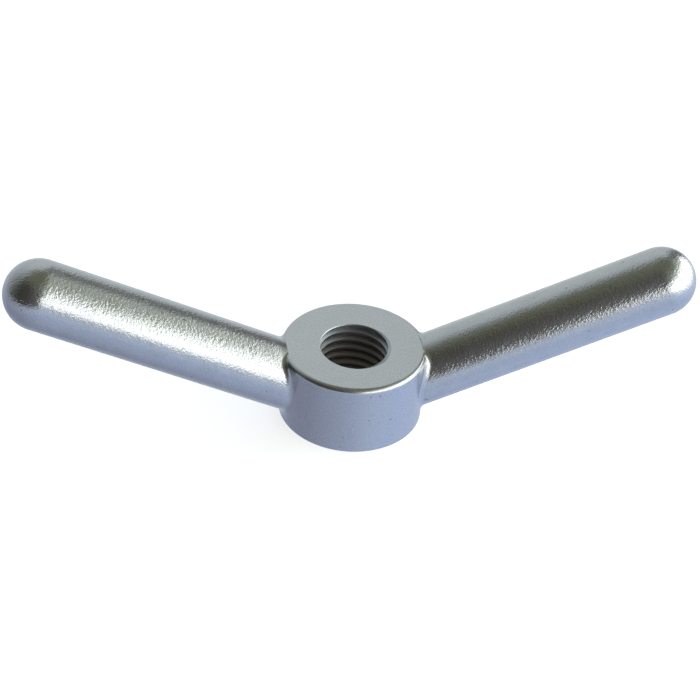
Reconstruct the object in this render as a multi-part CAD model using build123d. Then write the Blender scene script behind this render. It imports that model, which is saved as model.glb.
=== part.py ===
from build123d import *

import os
from math import cos, radians, sin, tan

from build123d.topology import SkipClean

# Wing nut with two straight round arms, in millimetres.
# The origin is the centre of the boss's seat face. +Z is the thread's axis, and the arms rise along +X and -X.

# The boss
boss_diameter = 30.0
boss_height = 16.2
rim_rounding = 1.0  # round the top rim, which the facing cut stops at
seat_chamfer = 0.3

# The thread, ISO metric, right-hand, cut right through
thread_major = 16.0
thread_pitch = 2.0
thread_exit_angle = -70.0  # where the groove's middle runs out of the top face, degrees from +X
mouth_chamfer = 0.15
crest_seam_angle = 17.0  # the crest has one face for each quarter turn, and this is where the first one starts

# The arms
arm_diameter = 14.2
arm_rise = 24.0  # degrees above the seat face
arm_reach = 68.4  # along the arm, from the thread's axis to the middle of the domed tip
arm_underside = 1.6  # height of the arm's underside where it meets the boss's side

# The joint between an arm and the boss
spigot_diameter = 6.0
spigot_clearance = 0.1  # between the spigot and its socket, all round
spigot_end_gap = 0.3
socket_wall = 1.8  # metal left between the socket and the root of the thread
root_fillet = 1.5  # the weld's concave face
toe_below = 1.0  # how far the weld reaches past the arm on the boss's side, underneath
toe_above = 4.0  # the same on top, where the angle between arm and boss is sharper
weld_land = 0.3  # straight bar that the weld covers past its concave face

# Worked out
boss_radius = boss_diameter / 2
arm_radius = arm_diameter / 2
rise = radians(arm_rise)
arm_axis_height = arm_underside + arm_radius / cos(rise) - boss_radius * tan(rise)
facing_radius = boss_radius - rim_rounding
sharpest_root = radians(90.0 - arm_rise)
weld_radius = boss_radius + root_fillet / tan(sharpest_root / 2) + weld_land
spigot_radius = spigot_diameter / 2
socket_radius = spigot_radius + spigot_clearance
socket_end = (thread_major / 2 + socket_wall + socket_radius * sin(rise)) / cos(rise)
spigot_end = socket_end + spigot_end_gap
sides = {"left": -1, "right": 1}

# ISO metric profile: a sharp V of this height, cut off by an eighth at the root and a quarter at the crest
v_height = thread_pitch * cos(radians(30))
thread_depth = v_height * 5 / 8
thread_minor = thread_major - 2 * thread_depth
root_flat = thread_pitch / 8
groove_overrun = 0.3  # how far the cutter starts inside the bore

upright = (Align.CENTER, Align.CENTER, Align.MIN)


def arm_frame(side):
    """Plane whose Z runs out along an arm's axis, from where it crosses the thread's axis."""
    along = (side * cos(rise), 0, sin(rise))
    return Plane(origin=(0, 0, arm_axis_height), x_dir=(0, 1, 0), z_dir=along)


def rod(side, radius, start, end):
    """Round bar on an arm's axis, between two distances from the thread's axis."""
    return arm_frame(side) * Pos(0, 0, start) * Cylinder(radius, end - start, align=upright)


def arm_bar(side, start):
    """The arm's bar with its domed tip."""
    tip = arm_frame(side) * Pos(0, 0, arm_reach) * Sphere(arm_radius)
    return rod(side, arm_radius, start, arm_reach) + tip


def drum(radius, low, high):
    """Upright cylinder on the thread's axis."""
    return Pos(0, 0, low) * Cylinder(radius, high - low, align=upright)


def boss_blank():
    """The boss before its bore and sockets."""
    blank = drum(boss_radius, 0, boss_height)
    blank = fillet(blank.edges().group_by(Axis.Z)[-1], rim_rounding)
    return chamfer(blank.edges().group_by(Axis.Z)[0], seat_chamfer)


def joined_body():
    """Boss and arms as one shape with the concave weld faces, faced flat on top of the boss."""
    # The bars start inside the boss, clear of its seat face.
    start = (arm_radius * cos(rise) - arm_axis_height) / sin(rise) + 1.0
    body = boss_blank() + [arm_bar(side, start) for side in sides.values()]
    plain = (GeomType.CIRCLE, GeomType.LINE)
    seams = body.edges().filter_by(lambda edge: edge.geom_type not in plain)
    body = fillet(seams, root_fillet)
    return body - drum(facing_radius, boss_height, boss_height + arm_reach)


def weld_zone(side):
    """Space that weld metal takes up: round the arm's root, from the facing cut's circle outwards."""
    ring = drum(weld_radius, -arm_reach, arm_reach) - drum(facing_radius, -arm_reach, arm_reach)
    radius = arm_radius + (toe_below + toe_above) / 2
    raised = (toe_above - toe_below) / 2
    outline = Pos(-side * raised * sin(rise), 0, raised * cos(rise)) * rod(side, radius, 0, arm_reach)
    return ring & outline


def spigot(side, radius, end):
    """The turned end of an arm, or the socket that it sits in, from its end to well inside the bar."""
    return rod(side, radius, end, weld_radius / cos(rise) + arm_radius)


def thread_groove():
    """Helical cutter for the groove, longer than the boss at both ends."""
    turns_past = 2
    height = boss_height + 2 * turns_past * thread_pitch
    inner = thread_minor / 2 - groove_overrun
    outer = thread_major / 2
    half_root = root_flat / 2
    half_mouth = half_root + (outer - inner) * tan(radians(30))
    outline = Polyline(
        (inner, 0, -half_mouth),
        (outer, 0, -half_root),
        (outer, 0, half_root),
        (inner, 0, half_mouth),
        close=True,
    )
    path = Helix(thread_pitch, height, outer)
    groove = sweep(make_face(outline), path, is_frenet=True)
    # Turned so that the groove's middle meets the top face at its exit angle.
    low = -turns_past * thread_pitch
    angle_at_top = (boss_height - low) / thread_pitch * 360
    return Rot(0, 0, thread_exit_angle - angle_at_top) * Pos(0, 0, low) * groove


def countersinks():
    """Cones that break the thread's edge at both mouths."""
    minor = thread_minor / 2
    sink = Cone(minor, minor + 2 * mouth_chamfer, 2 * mouth_chamfer, align=upright)
    top = Pos(0, 0, boss_height - mouth_chamfer) * sink
    low = Pos(0, 0, mouth_chamfer) * Rot(180, 0, 0) * sink
    return [top, low]


def in_quarters(shape):
    """The same solid, with its round faces split where two planes through the thread's axis cross them."""
    pieces = [shape]
    for plane in (Plane.XZ, Plane.YZ):
        cutter = plane.rotated((0, 0, crest_seam_angle))
        halves = [piece.split(cutter, keep=Keep.BOTH) for piece in pieces]
        pieces = [solid for pair in halves for half in pair for solid in half.solids()]
    with SkipClean():
        return pieces[0] + pieces[1:]


def main():
    body = joined_body()
    parts = {"boss": boss_blank() - thread_groove() - countersinks()}
    for name, side in sides.items():
        zone = weld_zone(side)
        parts["boss"] -= [zone, spigot(side, socket_radius, socket_end)]
        parts[name + "_weld"] = (body & zone) - spigot(side, spigot_radius, spigot_end)
        bar = arm_bar(side, boss_radius) - drum(weld_radius, -arm_reach, arm_reach)
        parts[name + "_arm"] = bar + spigot(side, spigot_radius, spigot_end)
    parts["boss"] = in_quarters(parts["boss"] - drum(thread_minor / 2, -1, boss_height + 1))
    os.makedirs("parts", exist_ok=True)
    for name, shape in parts.items():
        export_step(shape, f"parts/{name}.step")


main()
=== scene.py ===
from math import cos, pi, radians, sin

import bpy
import numpy as np
from mathutils import Matrix, Vector, noise


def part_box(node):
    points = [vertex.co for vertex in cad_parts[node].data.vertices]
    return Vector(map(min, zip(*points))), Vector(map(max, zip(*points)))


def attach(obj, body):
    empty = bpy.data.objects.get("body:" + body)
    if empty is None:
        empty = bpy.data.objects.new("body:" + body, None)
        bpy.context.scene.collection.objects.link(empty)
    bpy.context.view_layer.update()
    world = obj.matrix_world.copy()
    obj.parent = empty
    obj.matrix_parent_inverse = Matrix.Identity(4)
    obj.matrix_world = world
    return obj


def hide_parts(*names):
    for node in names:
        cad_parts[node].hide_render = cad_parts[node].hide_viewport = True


# A steel wing nut with two straight round arms. Lengths are in metres.
# The steel is bright, so most of its look is the room that it reflects, which "Studio" below sets up.
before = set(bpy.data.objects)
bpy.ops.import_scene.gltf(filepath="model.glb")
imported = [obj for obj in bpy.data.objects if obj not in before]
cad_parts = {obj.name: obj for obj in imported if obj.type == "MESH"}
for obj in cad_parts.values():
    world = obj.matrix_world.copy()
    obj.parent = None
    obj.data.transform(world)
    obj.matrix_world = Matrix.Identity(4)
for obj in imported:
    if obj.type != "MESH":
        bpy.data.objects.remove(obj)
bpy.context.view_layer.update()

# Sizes from the part's source
ARM_RISE = radians(24)
SPIGOT_RADIUS = 0.003
CREST_RADIUS = 0.00692
THREAD_RADIUS = 0.008
BOSS_RADIUS = 0.015

# Sizes from the boxes of the parts in model.glb
arm_low, arm_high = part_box("right_arm")
BOSS_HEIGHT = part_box("boss")[1].z
WELD_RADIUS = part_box("right_weld")[1].x
ARM_RADIUS = arm_high.y
ARM_REACH = (arm_high.x - ARM_RADIUS) / cos(ARM_RISE)
ARM_AXIS_HEIGHT = arm_high.z - ARM_RADIUS - ARM_REACH * sin(ARM_RISE)
SPIGOT_END = (arm_low.x + SPIGOT_RADIUS * sin(ARM_RISE)) / cos(ARM_RISE)

# The blasted skin of the arms: dimples in two widths, each with its height. They fade out at the weld.
DIMPLES = ((0.00033, 0.000031), (0.0002, 0.000020))
DIMPLE_FADE = 0.0008
SEED = 7.3
SHIFT_PER_METRE = 1e6  # turns a dimple's height into its own place in the noise

# The arms' mesh
MESH_STEP = 0.00017
COPE_RINGS = 8
SHARP_EDGE = radians(40)


# ---- Camera ----

def add_camera():
    """The camera looks down at the boss from the front and a little from the left, held slightly askew."""
    azimuth = radians(-10.365)
    tilt = radians(52.497)
    roll = radians(4.76)
    target_height = BOSS_HEIGHT / 2 - 0.0001
    aside, above, distance = -0.00038, 0.00541, 0.31747
    data = bpy.data.cameras.new("camera")
    data.sensor_width = 36
    data.lens = 78.5
    data.clip_start = 0.01
    camera = bpy.data.objects.new("camera", data)
    target = Matrix.Translation((0, 0, target_height))
    turn = Matrix.Rotation(azimuth, 4, "Z") @ Matrix.Rotation(tilt, 4, "X")
    askew = Matrix.Rotation(roll, 4, "Z")
    back_off = Matrix.Translation((aside, above, distance))
    camera.matrix_world = target @ turn @ askew @ back_off
    bpy.context.scene.collection.objects.link(camera)
    bpy.context.scene.camera = camera


# ---- Arms ----

def arm_axis(side):
    """Point where an arm's axis crosses the thread's axis, and the direction in which the arm points."""
    return np.array([0, 0, ARM_AXIS_HEIGHT]), np.array([side * cos(ARM_RISE), 0, sin(ARM_RISE)])


def place_on_arm(side, station, radius, angle):
    """Points at these distances along an arm's axis and out from it, where angle 90 degrees is its top."""
    start, along = arm_axis(side)
    backwards = np.cos(angle)
    upwards = np.sin(angle)
    out = np.column_stack([-side * sin(ARM_RISE) * upwards, backwards, cos(ARM_RISE) * upwards])
    return start + station[:, None] * along + radius[:, None] * out


def cope_station(radius, angle):
    """Distance along an arm at which its skin, or a circle inside it, meets the weld's outer face."""
    across = radius * np.cos(angle)
    level = np.sqrt(WELD_RADIUS ** 2 - across ** 2)
    return (level + radius * np.sin(angle) * sin(ARM_RISE)) / cos(ARM_RISE)


def arm_rings(angle):
    """Stations and radii of an arm's rings from the tip to the spigot's end, and how many are its skin."""
    dome_rings = round(ARM_RADIUS * pi / 2 / MESH_STEP)
    shaft_rings = round((ARM_REACH - WELD_RADIUS) / MESH_STEP)
    even = np.ones(len(angle))
    rings = []
    for turn in np.linspace(0, pi / 2, dome_rings + 1)[1:]:
        rings.append(((ARM_REACH + ARM_RADIUS * cos(turn)) * even, ARM_RADIUS * sin(turn) * even))
    root = cope_station(ARM_RADIUS, angle)
    for share in np.linspace(0, 1, shaft_rings + 1)[1:]:
        rings.append((ARM_REACH + (root - ARM_REACH) * share, ARM_RADIUS * even))
    skin_rings = len(rings)
    for radius in np.linspace(ARM_RADIUS, SPIGOT_RADIUS, COPE_RINGS + 1)[1:]:
        rings.append((cope_station(radius, angle), radius * even))
    rings.append((SPIGOT_END * even, SPIGOT_RADIUS * even))
    return rings, skin_rings


def dimples(points, fade):
    """Height of the blasted skin at these points, over or under the true surface."""
    relief = np.zeros(len(points))
    for width, height in DIMPLES:
        shift = Vector((SEED, -SEED, height * SHIFT_PER_METRE))
        relief += [height * noise.noise(Vector(point) / width + shift) for point in points]
    return relief * fade


def arm_faces(rows, count, side):
    """Fans at both ends and four-sided faces between the rings. On either arm all of them face outwards."""
    last = rows * count + 1
    faces = []
    for i in range(count):
        j = (i + 1) % count
        faces.append((0, 1 + i, 1 + j))
        for row in range(rows - 1):
            near = 1 + row * count
            far = near + count
            faces.append((near + i, far + i, far + j, near + j))
        faces.append((last, last - count + j, last - count + i))
    return faces if side > 0 else [face[::-1] for face in faces]


def blasted(ring, side, station, angle):
    """A ring of the skin with its dimples, which stand square to the bar and to the dome."""
    start, along = arm_axis(side)
    heart = start + np.minimum(station, ARM_REACH)[:, None] * along
    outward = (ring - heart) / ARM_RADIUS
    from_weld = station - cope_station(ARM_RADIUS, angle)
    fade = np.clip(from_weld / DIMPLE_FADE, 0, 1)
    return ring + dimples(ring, fade)[:, None] * outward


def arm_mesh(name, side):
    """Mesh of an arm: its tip point, the rings, and the middle of the spigot's end."""
    count = round(2 * pi * ARM_RADIUS / MESH_STEP)
    angle = np.arange(count) / count * 2 * pi
    rings, skin_rings = arm_rings(angle)
    rows = [place_on_arm(side, station, radius, angle) for station, radius in rings]
    for number in range(skin_rings):
        rows[number] = blasted(rows[number], side, rings[number][0], angle)
    start, along = arm_axis(side)
    tip = start + (ARM_REACH + ARM_RADIUS) * along
    points = np.vstack([tip, *rows, start + SPIGOT_END * along])
    mesh = bpy.data.meshes.new(name)
    mesh.from_pydata(points.tolist(), [], arm_faces(len(rows), count, side))
    mesh.polygons.foreach_set("use_smooth", np.ones(len(mesh.polygons), bool))
    mesh.set_sharp_from_angle(angle=SHARP_EDGE)
    return mesh


def arm(name, side):
    """Arm with its domed tip, blasted skin, coped end and spigot, in place of the CAD's arm."""
    piece = bpy.data.objects.new(name + "_skin", arm_mesh(name, side))
    bpy.context.scene.collection.objects.link(piece)
    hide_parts(name)
    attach(piece, "root")
    return piece


# ---- Materials ----

class Graph:
    """Short forms for building a node tree."""

    def __init__(self, tree):
        """Starts with an empty tree."""
        self.tree = tree
        tree.nodes.clear()

    def add(self, kind, inputs=None, **settings):
        """Node with its settings, and its inputs linked or set."""
        node = self.tree.nodes.new(kind)
        for name, value in settings.items():
            setattr(node, name, value)
        for name, value in (inputs or {}).items():
            if isinstance(value, bpy.types.NodeSocket):
                self.tree.links.new(value, node.inputs[name])
            else:
                node.inputs[name].default_value = value
        return node

    def math(self, operation, *values):
        """Result of one operation on these values."""
        return self.add("ShaderNodeMath", dict(enumerate(values)), operation=operation).outputs[0]

    def band(self, value, start, end, low=0.0, high=1.0):
        """Smooth step from low, where the value is start, to high, where it is end."""
        inputs = {"Value": value, "From Min": start, "From Max": end, "To Min": low, "To Max": high}
        return self.add("ShaderNodeMapRange", inputs, interpolation_type="SMOOTHSTEP").outputs[0]

    def ramp(self, value, stops):
        """Colour that runs through the stops, each a position and its colour."""
        node = self.add("ShaderNodeValToRGB", {"Fac": value})
        elements = node.color_ramp.elements
        while len(elements) < len(stops):
            elements.new(0.5)
        for element, (position, colour) in zip(elements, stops):
            element.position = position
            element.color = (*colour, 1)
        return node.outputs["Color"]

    def mix(self, factor, a, b, blend="MIX"):
        """Colour a at factor 0. At factor 1 it is b, or a times b where blend is MULTIPLY."""
        node = self.add("ShaderNodeMix", {0: factor, 6: a, 7: b}, data_type="RGBA", blend_type=blend)
        return node.outputs[2]

    def noise(self, place, size, detail):
        """Soft noise in grains of this size, mostly between 0.2 and 0.8."""
        inputs = {"Vector": place, "Scale": 1 / size, "Detail": detail}
        return self.add("ShaderNodeTexNoise", inputs).outputs["Fac"]


# Sizes of the steel's patches, pits and grain
PATCH = 0.003
PIT_SPACING = 0.0010
BOSS_GRAIN = 0.0003
SPECK = 0.00022
ARM_GRAIN = 0.00021
WELD_GRAIN = 0.00015

# Heights by which the bumps in the boss's and the arms' materials are multiplied
BOSS_BUMPS = 0.000014
ARM_BUMPS = 0.000034

# Distances from the thread's axis between which the weld's dimples come up
WELD_FADE = (BOSS_RADIUS, 0.0166)

# Where a noise is spread over a whole range of values, and where it is rare enough for a pit
NOISE_MIDDLE = (0.3, 0.7)
NOISE_PEAKS = (0.79, 0.85)

PIT_BROWN = (0.22, 0.19, 0.17, 1)
PIT_STRENGTH = 0.4
BLASTED_ROUGHNESS = (0.14, 0.19)
BOSS_ROUGHNESS = (0.23, 0.29)
BORE_EXTRA_ROUGHNESS = 0.15

# The thread's colours from crest to root are darker than the outside, partly the cut steel's own tone and
# partly painted shade in the bore. Near its upper mouth a lighter, bluish painted light stands for the
# room's light reaching in.
THREAD_STEEL_AND_SHADE = [(0.0, (0.36, 0.345, 0.33)), (0.3, (0.40, 0.38, 0.36)), (1.0, (0.38, 0.355, 0.33))]
MOUTH_PAINTED_LIGHT = (0.64, 0.67, 0.71, 1)
MOUTH_PAINTED_LIGHT_STRENGTH = 0.7


def steel(name, build):
    """A bare steel material. build(graph, place) gives its colour, roughness, bumps and their height."""
    material = bpy.data.materials.new(name)
    material.use_nodes = True
    graph = Graph(material.node_tree)
    place = graph.add("ShaderNodeTexCoord").outputs["Object"]
    colour, roughness, bumps, bump_height = build(graph, place)
    bump = graph.add("ShaderNodeBump", {"Strength": 1.0, "Distance": bump_height, "Height": bumps})
    inputs = {
        "Base Color": colour,
        "Metallic": 1.0,
        "Roughness": roughness,
        "Normal": bump.outputs["Normal"],
    }
    surface = graph.add("ShaderNodeBsdfPrincipled", inputs).outputs["BSDF"]
    graph.add("ShaderNodeOutputMaterial", {"Surface": surface})
    return material


def from_axis(graph, place):
    """Distance from the thread's axis, and height over the seat."""
    x, y, z = graph.add("ShaderNodeSeparateXYZ", {"Vector": place}).outputs
    radius = graph.math("SQRT", graph.math("MULTIPLY_ADD", x, x, graph.math("MULTIPLY", y, y)))
    return radius, z


def pitted(graph, place, colour):
    """The colour with a few tiny, faint brownish pits."""
    pits = graph.band(graph.noise(place, PIT_SPACING, 0.0), *NOISE_PEAKS, 0.0, PIT_STRENGTH)
    return graph.mix(pits, colour, PIT_BROWN)


def blasted_colour(graph, place):
    """Slightly uneven bright steel, and its roughness."""
    patch_share = 0.35
    patches = graph.noise(place, PATCH, 3.0)
    specks = graph.noise(place, SPECK, 2.0)
    both = graph.math("MULTIPLY_ADD", graph.math("SUBTRACT", patches, specks), patch_share, specks)
    colour = graph.ramp(both, [(0.32, (0.55, 0.555, 0.55)), (0.68, (0.68, 0.68, 0.675))])
    return pitted(graph, place, colour), graph.band(patches, *NOISE_MIDDLE, *BLASTED_ROUGHNESS)


def arm_steel(graph, place):
    """Blasted arm. Its dimples are in the mesh, and only the finest grain is here."""
    colour, roughness = blasted_colour(graph, place)
    return colour, roughness, graph.noise(place, ARM_GRAIN, 1.0), ARM_BUMPS


def weld_steel(graph, place):
    """Blasted weld: dimples like the arm's, here as bumps, which fade out towards the boss."""
    colour, roughness = blasted_colour(graph, place)
    radius = from_axis(graph, place)[0]
    width, height = DIMPLES[0]
    grain_share = 0.25
    dimpled = graph.math("MULTIPLY", graph.noise(place, width, 1.5), graph.band(radius, *WELD_FADE))
    bumps = graph.math("MULTIPLY_ADD", graph.noise(place, WELD_GRAIN, 1.0), grain_share, dimpled)
    return colour, roughness, bumps, 2 * height


def boss_zones(graph, radius, z):
    """Masks for the boss's top face, and for its bore without the rings of face around the mouths."""
    on_face, off_face = 0.00002, 0.0001
    on_top = graph.band(z, BOSS_HEIGHT - off_face, BOSS_HEIGHT - on_face)
    off_top = graph.math("SUBTRACT", 1.0, on_top)
    off_seat = graph.band(z, on_face, off_face)
    near_axis = graph.band(radius, THREAD_RADIUS + 2 * off_face, THREAD_RADIUS + off_face)
    in_bore = graph.math("MULTIPLY", near_axis, graph.math("MULTIPLY", off_seat, off_top))
    return on_top, in_bore


def boss_steel(graph, place):
    """The boss: fine blasted side, turned top face, and a thread darkened partly as cut steel and partly by
    painted shade, with painted light near its upper mouth.
    """
    mouth_light_from, mouth_light_to = BOSS_HEIGHT - 0.006, BOSS_HEIGHT - 0.001
    radius, z = from_axis(graph, place)
    on_top, in_bore = boss_zones(graph, radius, z)
    patches = graph.noise(place, PATCH, 3.0)
    specks = graph.noise(place, BOSS_GRAIN, 2.0)
    side = graph.ramp(specks, [(0.3, (0.57, 0.575, 0.575)), (0.7, (0.68, 0.68, 0.68))])
    turned = graph.ramp(specks, [(0.3, (0.56, 0.57, 0.57)), (0.7, (0.74, 0.745, 0.75))])
    # Painted shade: the thread is darker than the steel outside, partly its own cut tone and partly shade
    # in the bore.
    thread = graph.ramp(graph.band(radius, CREST_RADIUS, THREAD_RADIUS), THREAD_STEEL_AND_SHADE)
    # Painted light: the thread turns lighter and bluer towards its upper mouth, where the room's light
    # reaches into the bore.
    near_mouth = graph.band(z, mouth_light_from, mouth_light_to, 0.0, MOUTH_PAINTED_LIGHT_STRENGTH)
    thread = graph.mix(near_mouth, thread, MOUTH_PAINTED_LIGHT)
    colour = graph.mix(on_top, pitted(graph, place, side), turned)
    colour = graph.mix(in_bore, colour, thread)
    roughness = graph.band(patches, *NOISE_MIDDLE, *BOSS_ROUGHNESS)
    roughness = graph.math("MULTIPLY_ADD", in_bore, BORE_EXTRA_ROUGHNESS, roughness)
    bumps = graph.math("ADD", specks, graph.math("MULTIPLY", patches, 2.0))
    return colour, roughness, bumps, BOSS_BUMPS


# ---- Studio ----

# Colours that the steel reflects, by compass direction in degrees: 0 is to the front and 90 to the right
WALLS = [
    (-180, (0.59, 0.65, 0.66)),
    (-150, (0.51, 0.57, 0.62)),
    (-125, (0.35, 0.39, 0.40)),
    (-95, (0.125, 0.13, 0.13)),
    (-75, (0.050, 0.055, 0.045)),
    (-40, (0.070, 0.065, 0.060)),
    (-5, (0.14, 0.14, 0.145)),
    (40, (0.43, 0.47, 0.41)),
    (110, (0.55, 0.61, 0.56)),
    (137, (0.18, 0.185, 0.19)),
    (148, (0.16, 0.17, 0.17)),
    (156, (0.56, 0.61, 0.64)),
    (180, (0.59, 0.65, 0.66)),
]
TABLE = [
    (-180, (0.55, 0.60, 0.70)),
    (-150, (0.42, 0.49, 0.64)),
    (-120, (0.30, 0.33, 0.45)),
    (-80, (0.29, 0.32, 0.44)),
    (-20, (0.39, 0.46, 0.63)),
    (30, (0.51, 0.62, 0.86)),
    (80, (0.54, 0.66, 0.96)),
    (130, (0.56, 0.65, 0.88)),
    (180, (0.55, 0.60, 0.70)),
]
CEILING = (0.16, 0.17, 0.125, 1)
# Painted shadow: the room's table turns darker straight below the nut, for the shade that the nut casts on
# it.
UNDER_NUT = (0.33, 0.385, 0.53, 1)
UNDER_NUT_STRENGTH = 0.6
FAR_TABLE_GAIN = (1.35, 1.3, 1.2, 1)
BACKGROUND = (1.0, 1.0, 1.0, 1)

# Angles over the horizon between which one part of the room blends into the next
WALLS_TO_CEILING = (radians(46), radians(72))
TABLE_TO_WALLS = (radians(-11), radians(-2))
TABLE_TO_FAR_TABLE = (radians(-38), radians(-8))
TABLE_TO_UNDER_NUT = (radians(-55), radians(-80))


def by_direction(graph, turn, colours):
    """Colour for a compass direction, where turn is its share of a whole turn that starts at the back."""
    return graph.ramp(turn, [(degrees / 360 + 0.5, colour) for degrees, colour in colours])


def studio_room():
    """The room that the steel reflects: dark at the front left, pale behind, and a cool white table.

    The camera itself sees a plain white background.
    """
    world = bpy.data.worlds.new("room")
    bpy.context.scene.world = world
    world.use_nodes = True
    graph = Graph(world.node_tree)
    direction = graph.add("ShaderNodeTexCoord").outputs["Generated"]
    x, y, z = graph.add("ShaderNodeSeparateXYZ", {"Vector": direction}).outputs
    turn = graph.math("ARCTAN2", x, graph.math("MULTIPLY", y, -1.0))
    turn = graph.math("MULTIPLY_ADD", turn, 1 / (2 * pi), 0.5)
    height = graph.math("ARCSINE", z)
    walls = by_direction(graph, turn, WALLS)
    table = by_direction(graph, turn, TABLE)
    # Painted shadow of the nut on the table below it.
    under_nut = graph.band(height, *TABLE_TO_UNDER_NUT, 0.0, UNDER_NUT_STRENGTH)
    table = graph.mix(under_nut, table, UNDER_NUT)
    lower = graph.mix(graph.band(height, *TABLE_TO_FAR_TABLE), table, FAR_TABLE_GAIN, "MULTIPLY")
    upper = graph.mix(graph.band(height, *WALLS_TO_CEILING), walls, CEILING)
    room = graph.mix(graph.band(height, *TABLE_TO_WALLS), lower, upper)
    seen = graph.add("ShaderNodeLightPath").outputs["Is Camera Ray"]
    colour = graph.mix(seen, room, BACKGROUND)
    light = graph.add("ShaderNodeBackground", {"Color": colour, "Strength": 1.0})
    graph.add("ShaderNodeOutputWorld", {"Surface": light.outputs[0]})


def window():
    """A wide bright panel to the right, which reaches further to the front than to the back."""
    distance = 1.0
    front, rear = -2.75, 1.54
    low, high = -0.06, 0.97
    facing = radians(75)
    radiance = 1.55
    data = bpy.data.lights.new("window", "AREA")
    data.shape = "RECTANGLE"
    data.size = rear - front
    data.size_y = high - low
    data.energy = radiance * pi * data.size * data.size_y
    data.color = (0.93, 0.97, 1.0)
    lamp = bpy.data.objects.new("window", data)
    towards = Vector((sin(facing), -cos(facing), 0))
    backwards = Vector((cos(facing), sin(facing), 0))
    centre = towards * distance + backwards * (front + rear) / 2 + Vector((0, 0, (low + high) / 2))
    lamp.matrix_world = Matrix.Translation(centre) @ towards.to_track_quat("Z", "Y").to_matrix().to_4x4()
    lamp.visible_camera = False
    bpy.context.scene.collection.objects.link(lamp)


def matte(name, colour, glow_colour, glow):
    """Matte material that also glows."""
    material = bpy.data.materials.new(name)
    material.use_nodes = True
    graph = Graph(material.node_tree)
    inputs = {
        "Base Color": colour,
        "Roughness": 1.0,
        "Specular IOR Level": 0.0,
        "Emission Color": glow_colour,
        "Emission Strength": glow,
    }
    surface = graph.add("ShaderNodeBsdfPrincipled", inputs).outputs["BSDF"]
    graph.add("ShaderNodeOutputMaterial", {"Surface": surface})
    return material


def floor():
    """Plain white floor, which ends short of the window. The steel reflects the room's table instead."""
    half = 0.8
    mesh = bpy.data.meshes.new("floor")
    corners = [(-half, -half, 0), (half, -half, 0), (half, half, 0), (-half, half, 0)]
    mesh.from_pydata(corners, [], [(0, 1, 2, 3)])
    plane = bpy.data.objects.new("floor", mesh)
    plane.visible_glossy = False
    bpy.context.scene.collection.objects.link(plane)
    white = matte("floor", colour=(0.9, 0.9, 0.9, 1), glow_colour=(1, 1, 1, 1), glow=0.70)
    mesh.materials.append(white)


def shaded_floor():
    """A dark disc just under the floor, a little smaller than the boss, which only reflections see.

    It stands for the shade that the boss casts, and keeps the bore dark. Its faint warm glow is painted
    light, which sets how bright the bore's reflections of it look.
    """
    radius = BOSS_RADIUS - 0.0004
    depth = 0.00005
    corners = 48
    turns = [2 * pi * i / corners for i in range(corners)]
    outline = [(radius * cos(turn), radius * sin(turn), -depth) for turn in turns]
    mesh = bpy.data.meshes.new("shaded_floor")
    mesh.from_pydata(outline, [], [tuple(range(corners))])
    disc = bpy.data.objects.new("shaded_floor", mesh)
    bpy.context.scene.collection.objects.link(disc)
    # Painted shade with a faint painted glow: dark for the boss's shade, glowing a little so the bore's
    # reflections of it are not black.
    dark = matte("shaded_floor", colour=(0.09, 0.085, 0.08, 1), glow_colour=(1.0, 0.97, 0.9, 1), glow=0.035)
    mesh.materials.append(dark)


# ---- The nut in its studio ----

def give(piece, material):
    """Make this the piece's only material."""
    piece.data.materials.clear()
    piece.data.materials.append(material)


add_camera()
studio_room()
window()
floor()
shaded_floor()
bpy.context.scene.view_settings.view_transform = "Standard"
arm_material = steel("arm_steel", arm_steel)
weld_material = steel("weld_steel", weld_steel)
for name, side in {"left": -1, "right": 1}.items():
    give(arm(name + "_arm", side), arm_material)
    give(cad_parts[name + "_weld"], weld_material)
give(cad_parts["boss"], steel("boss_steel", boss_steel))
